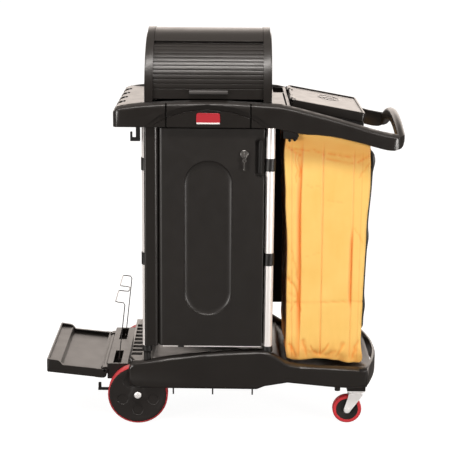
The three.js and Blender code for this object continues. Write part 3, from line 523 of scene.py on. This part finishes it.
def bag_ring(rise):
    """Points round the bag at one height, each with its face, its place and its outward direction."""
    middle = BAG_HEM + rise * BAG_HEIGHT
    left, right = through(LEFT_EDGE, middle), through(RIGHT_EDGE, middle)
    flare = (BAG_RIM - BAG_FRONT) * smoothstep(0.90, 0.96, rise)
    tuck = 0.006 * (1 - smoothstep(0, 0.05, rise))
    half = BAG_FRONT + flare - tuck
    spans = [  # face, start, end, outward direction, number of points
        ("front", (left, -half), (right, -half), (0, -1), 138),
        ("right", (right, -half), (right, half), (1, 0), 56),
        ("back", (right, half), (left, half), (0, 1), 72),
        ("left", (left, half), (left, -half), (-1, 0), 52),
    ]
    for face, start, end, out, count in spans:
        start, end, out = Vector(start), Vector(end), Vector(out)
        way = (end - start).normalized()
        start, end = start + BAG_CORNER * way, end - BAG_CORNER * way
        for i in range(count):
            place = start.lerp(end, i / (count - 1))
            yield face, place, out
        pivot = end - BAG_CORNER * out
        side = "front" if face == "left" else face
        for k in range(1, 6):
            turn = math.radians(90) * k / 6
            arm = math.cos(turn) * out + math.sin(turn) * way
            yield side, pivot + BAG_CORNER * arm, arm


def hem_height(face, x, y):
    """Height of the bag's foot: a wavy hem in front, and a nearly level one round the rest."""
    if face == "front" or y < -0.15:
        return through(FRONT_HEM, x)
    return BAG_HEM + 0.006 * noise.noise(Vector((x * 14, y * 14, 2)))


def make_bag():
    """The bag as one lofted shell: rings of cloth from hem to rim, closed below by a sagging bottom."""
    bm = bmesh.new()
    # The fold layer holds the painted shade that deepens the cloth's colour.
    shade_layer = bm.verts.layers.float.new("fold")
    rings = []
    for row in range(BAG_ROWS):
        rise = row / (BAG_ROWS - 1)
        ring = []
        for face, place, out in bag_ring(rise):
            foot = hem_height(face, place.x, place.y)
            z = foot + (rim_height(place.x) - foot) * rise
            lift, shade = cloth_relief(face, place.x, place.y, z, rise)
            vert = bm.verts.new((place.x + lift * out.x, place.y + lift * out.y, z))
            vert[shade_layer] = shade
            ring.append(vert)
        rings.append(ring)
    centre = Vector((0.36, 0, 0.232))
    for share, drop in ((0.97, 0.004), (0.90, 0.006), (0.5, 0.004), (0.1, 0.003)):
        inner = []
        for vert in rings[0]:
            spot = centre + (vert.co - centre) * share
            made = bm.verts.new((spot.x, spot.y, spot.z - drop))
            # Painted shade on the sagging bottom.
            made[shade_layer] = 0.3
            inner.append(made)
        rings.insert(0, inner)
    bm.faces.new(reversed(rings[0]))
    for lower, upper in zip(rings, rings[1:]):
        bridge(bm, lower, upper)
    bag = piece("waste_bag", mesh_of(bm, "waste_bag"), "bag_vinyl", "frame")
    skin = bag.modifiers.new("skin", "SOLIDIFY")
    skin.thickness = BAG_THICKNESS
    skin.offset = -1
    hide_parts("bag")


ZIP_LOW, ZIP_HIGH, ZIP_ROWS = 0.334, 0.978, 90
ZIP_FRONT, ZIP_BACK = -0.213, -0.190
ZIP_FADE = 0.02  # length over which each end sinks into the cloth
ZIP_BULGES = [(0.935, 0.030, 0.0085), (0.668, 0.030, 0.0040), (0.425, 0.028, 0.0040)]  # z, spread, stand


def make_zip():
    """A black zip tape down the bag's right side, whose edge stands off the corner in three places."""
    bm = bmesh.new()
    rings = []
    for row in range(ZIP_ROWS):
        z = ZIP_LOW + (ZIP_HIGH - ZIP_LOW) * row / (ZIP_ROWS - 1)
        inner = through(RIGHT_EDGE, z)
        foot = smoothstep(ZIP_LOW, ZIP_LOW + ZIP_FADE, z)
        head = smoothstep(ZIP_HIGH - ZIP_FADE, ZIP_HIGH, z)
        ends = foot * (1 - head)
        stand = 0.0078
        for place, spread, height in ZIP_BULGES:
            stand += height * math.exp(-(((z - place) / spread) ** 2))
        sunk = -0.001 * (1 - ends)
        edge = inner + stand * ends + sunk
        middle = inner + 0.7 * (stand * ends + sunk) + 0.0022
        profile = [
            (inner - 0.004, ZIP_FRONT),
            (edge, ZIP_FRONT - 0.003),
            (edge + 0.0014, ZIP_FRONT),
            (middle, ZIP_FRONT + 0.007),
            (inner + 0.0066 * ends + sunk, ZIP_BACK),
            (inner - 0.002, ZIP_BACK + 0.001),
        ]
        rings.append([bm.verts.new((x, y, z)) for x, y in profile])
    for here, after in zip(rings, rings[1:]):
        bridge(bm, here, after)
    bm.faces.new(rings[0])
    bm.faces.new(reversed(rings[-1]))
    piece("bag_zip", mesh_of(bm, "bag_zip"), "black_plastic", "frame")


# ---------------------------------------------------------------- small details
LID_TILT = math.radians(10.2)


def lid_turn():
    """Takes places measured from the lid's hinge, along and above the lid, to the frame."""
    hinge = Vector(joints["lid_hinge_turn"]["pos_m"])
    return Matrix.Translation(hinge) @ Matrix.Rotation(LID_TILT, 4, "Y")


def make_lid_mark():
    """A plain raised oval with a short bar in it on the lid."""
    turn = lid_turn()
    middle = Vector((0.140, 0.062, 0.0024))
    half_length, half_width, points = 0.038, 0.046, 48
    oval = []
    for i in range(points):
        a = 2 * math.pi * i / points
        oval.append(turn @ (middle + Vector((half_length * math.cos(a), half_width * math.sin(a), 0))))
    paint = plastic("lid_mark", (0.42, 0.40, 0.39), 0.35, bump=0.02, wear=0)
    tube_loop("lid_mark_oval", oval, 0.0016, "top_plastic", "lid", paint=paint)
    low, high = middle - Vector((0.020, 0.006, 0.001)), middle + Vector((0.020, 0.006, 0.0014))
    rounded_bar("lid_mark_bar", low, high, "top_plastic", "lid", turn=turn, paint=paint)


def make_badge_strip():
    """The pale strip along the badge's lower edge."""
    low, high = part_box("badge")
    paint = plastic("badge_strip", (0.80, 0.79, 0.78), 0.35, bump=0.03, tint=0.03, wear=0)
    start = (low.x + 0.001, low.y - 0.0006, low.z - 0.0002)
    end = (high.x - 0.001, low.y + 0.002, low.z + 0.0052)
    rounded_bar("badge_strip", start, end, "aluminium", "frame", paint=paint)


def make_cabinet_tab():
    """The small tab below the door, near its hinge."""
    low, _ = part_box("door")
    start, end = (-0.149, low.y, low.z - 0.006), (-0.128, low.y + 0.01, low.z - 0.0005)
    rounded_bar("cabinet_tab", start, end, "black_plastic", "frame")


def make_sill():
    """The pale edge strip along the front of the cabinet's floor."""
    low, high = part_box("door")
    start = (low.x + 0.012, low.y + 0.001, low.z - 0.0045)
    end = (high.x - 0.004, low.y + 0.006, low.z - 0.0010)
    rounded_bar("sill_strip", start, end, "aluminium", "frame", edge=0.0006)


make_camera()
make_studio()
for name in nodes:
    dress(name, FINE_EDGE if name in FINE_FIT else EDGE)
make_bag()
make_zip()
make_lid_mark()
make_badge_strip()
make_cabinet_tab()
make_sill()
